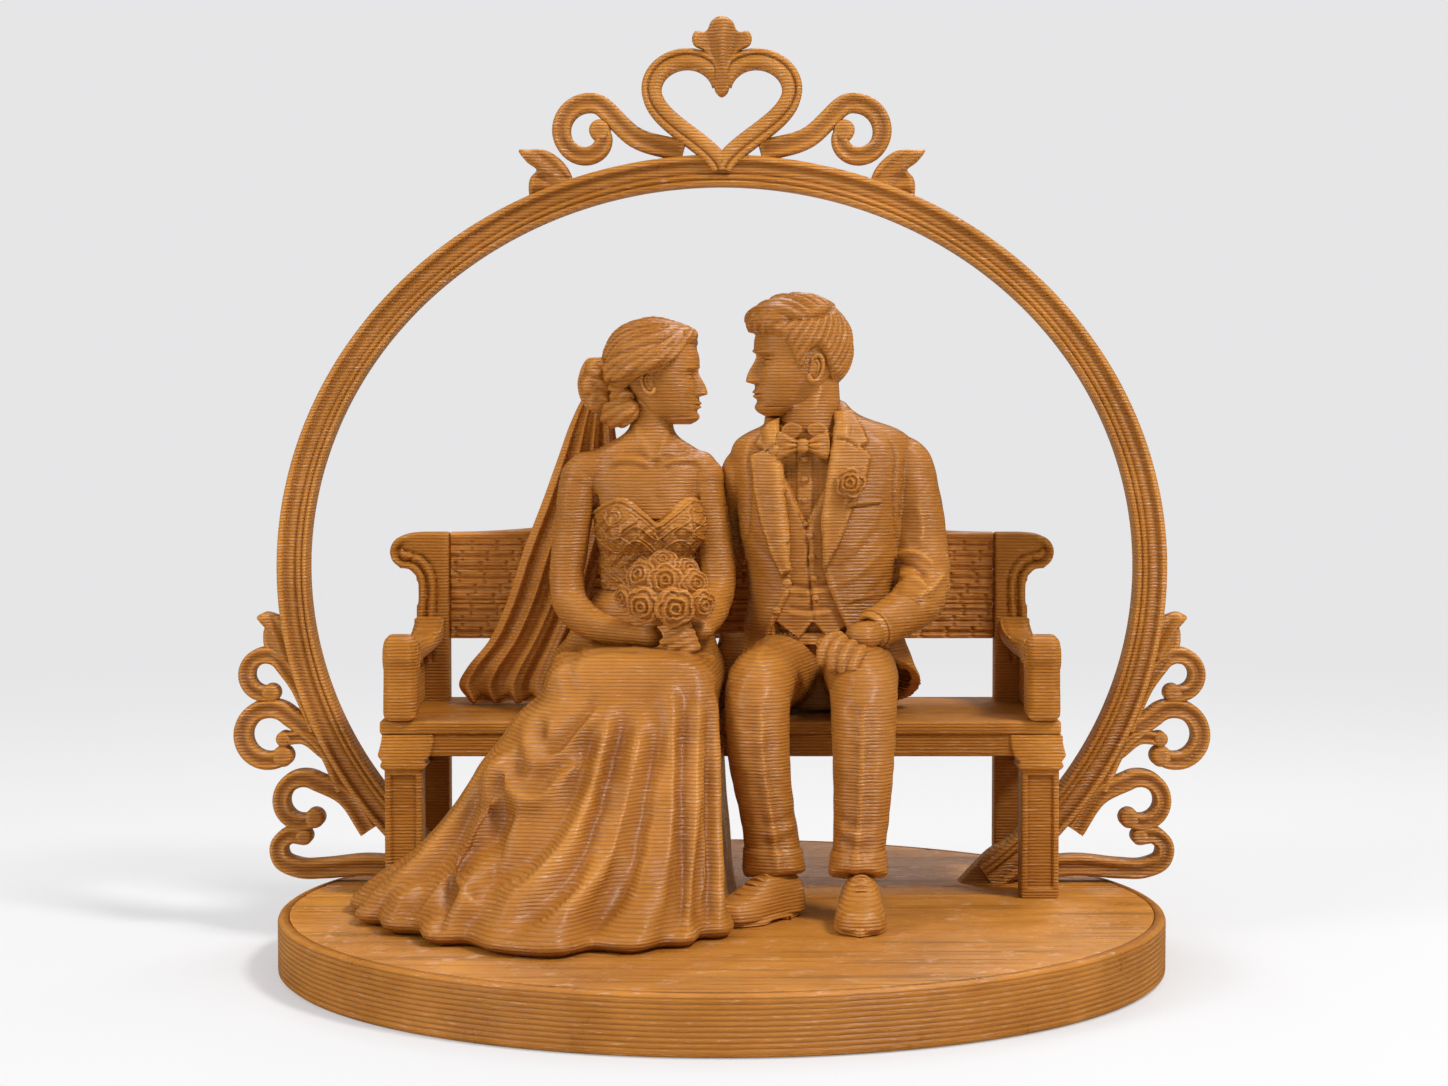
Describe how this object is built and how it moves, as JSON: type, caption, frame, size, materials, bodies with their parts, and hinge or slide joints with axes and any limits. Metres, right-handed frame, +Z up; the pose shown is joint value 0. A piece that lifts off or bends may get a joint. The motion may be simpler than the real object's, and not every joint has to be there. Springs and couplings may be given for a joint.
{
  "type": "wedding couple figurine",
  "caption": "Free-standing figurine of a seated bride and groom on a garden bench, under a moulded arch with a heart crest and scrolls, on a thick round base.",
  "frame": {"origin": "centre of the round base's underside", "axes": "+Z up from the table, -Y towards the side that the couple faces, +X to the viewer's right, along the bench"},
  "size_m": [0.1392, 0.12, 0.1303],
  "materials": {
    "base": "satin caramel-brown printed plastic",
    "arch": "satin caramel-brown printed plastic",
    "bench": "satin caramel-brown printed plastic",
    "figures": "satin caramel-brown printed plastic"
  },
  "bodies": {
    "root": {"base_plate": "base", "arch_ring": "arch", "crest_finial": "arch", "crest_leaf_left": "arch", "crest_leaf_right": "arch", "crest_scroll_left": "arch", "crest_scroll_right": "arch", "heart_crest": "arch", "side_leaf_left": "arch", "side_leaf_right": "arch", "side_scroll_foot_left": "arch", "side_scroll_foot_right": "arch", "side_scroll_lower_left": "arch", "side_scroll_lower_right": "arch", "side_scroll_middle_left": "arch", "side_scroll_middle_right": "arch", "side_scroll_upper_left": "arch", "side_scroll_upper_right": "arch", "bench_apron_left": "bench", "bench_apron_right": "bench", "bench_arm_left": "bench", "bench_arm_right": "bench", "bench_front_rail": "bench", "bench_leg_left": "bench", "bench_leg_right": "bench", "bench_rear_rail": "bench", "bench_seat": "bench", "bench_side_panel_left": "bench", "bench_side_panel_right": "bench", "bench_slat_lower": "bench", "bench_slat_middle": "bench", "bench_stile_left": "bench", "bench_stile_right": "bench", "bench_top_rail": "bench", "bouquet": "figures", "bride_arm_left": "figures", "bride_arm_right": "figures", "bride_bodice": "figures", "bride_bun": "figures", "bride_hair": "figures", "bride_head": "figures", "bride_shoulders": "figures", "bride_skirt": "figures", "bride_veil": "figures", "groom_boutonniere": "figures", "groom_bow_tie": "figures", "groom_hair": "figures", "groom_hand_left": "figures", "groom_hand_right": "figures", "groom_head": "figures", "groom_jacket": "figures", "groom_shirt": "figures", "groom_shoe_left": "figures", "groom_shoe_right": "figures", "groom_sleeve_left": "figures", "groom_sleeve_right": "figures", "groom_trousers": "figures", "groom_waistcoat": "figures"}
  },
  "joints": []
}
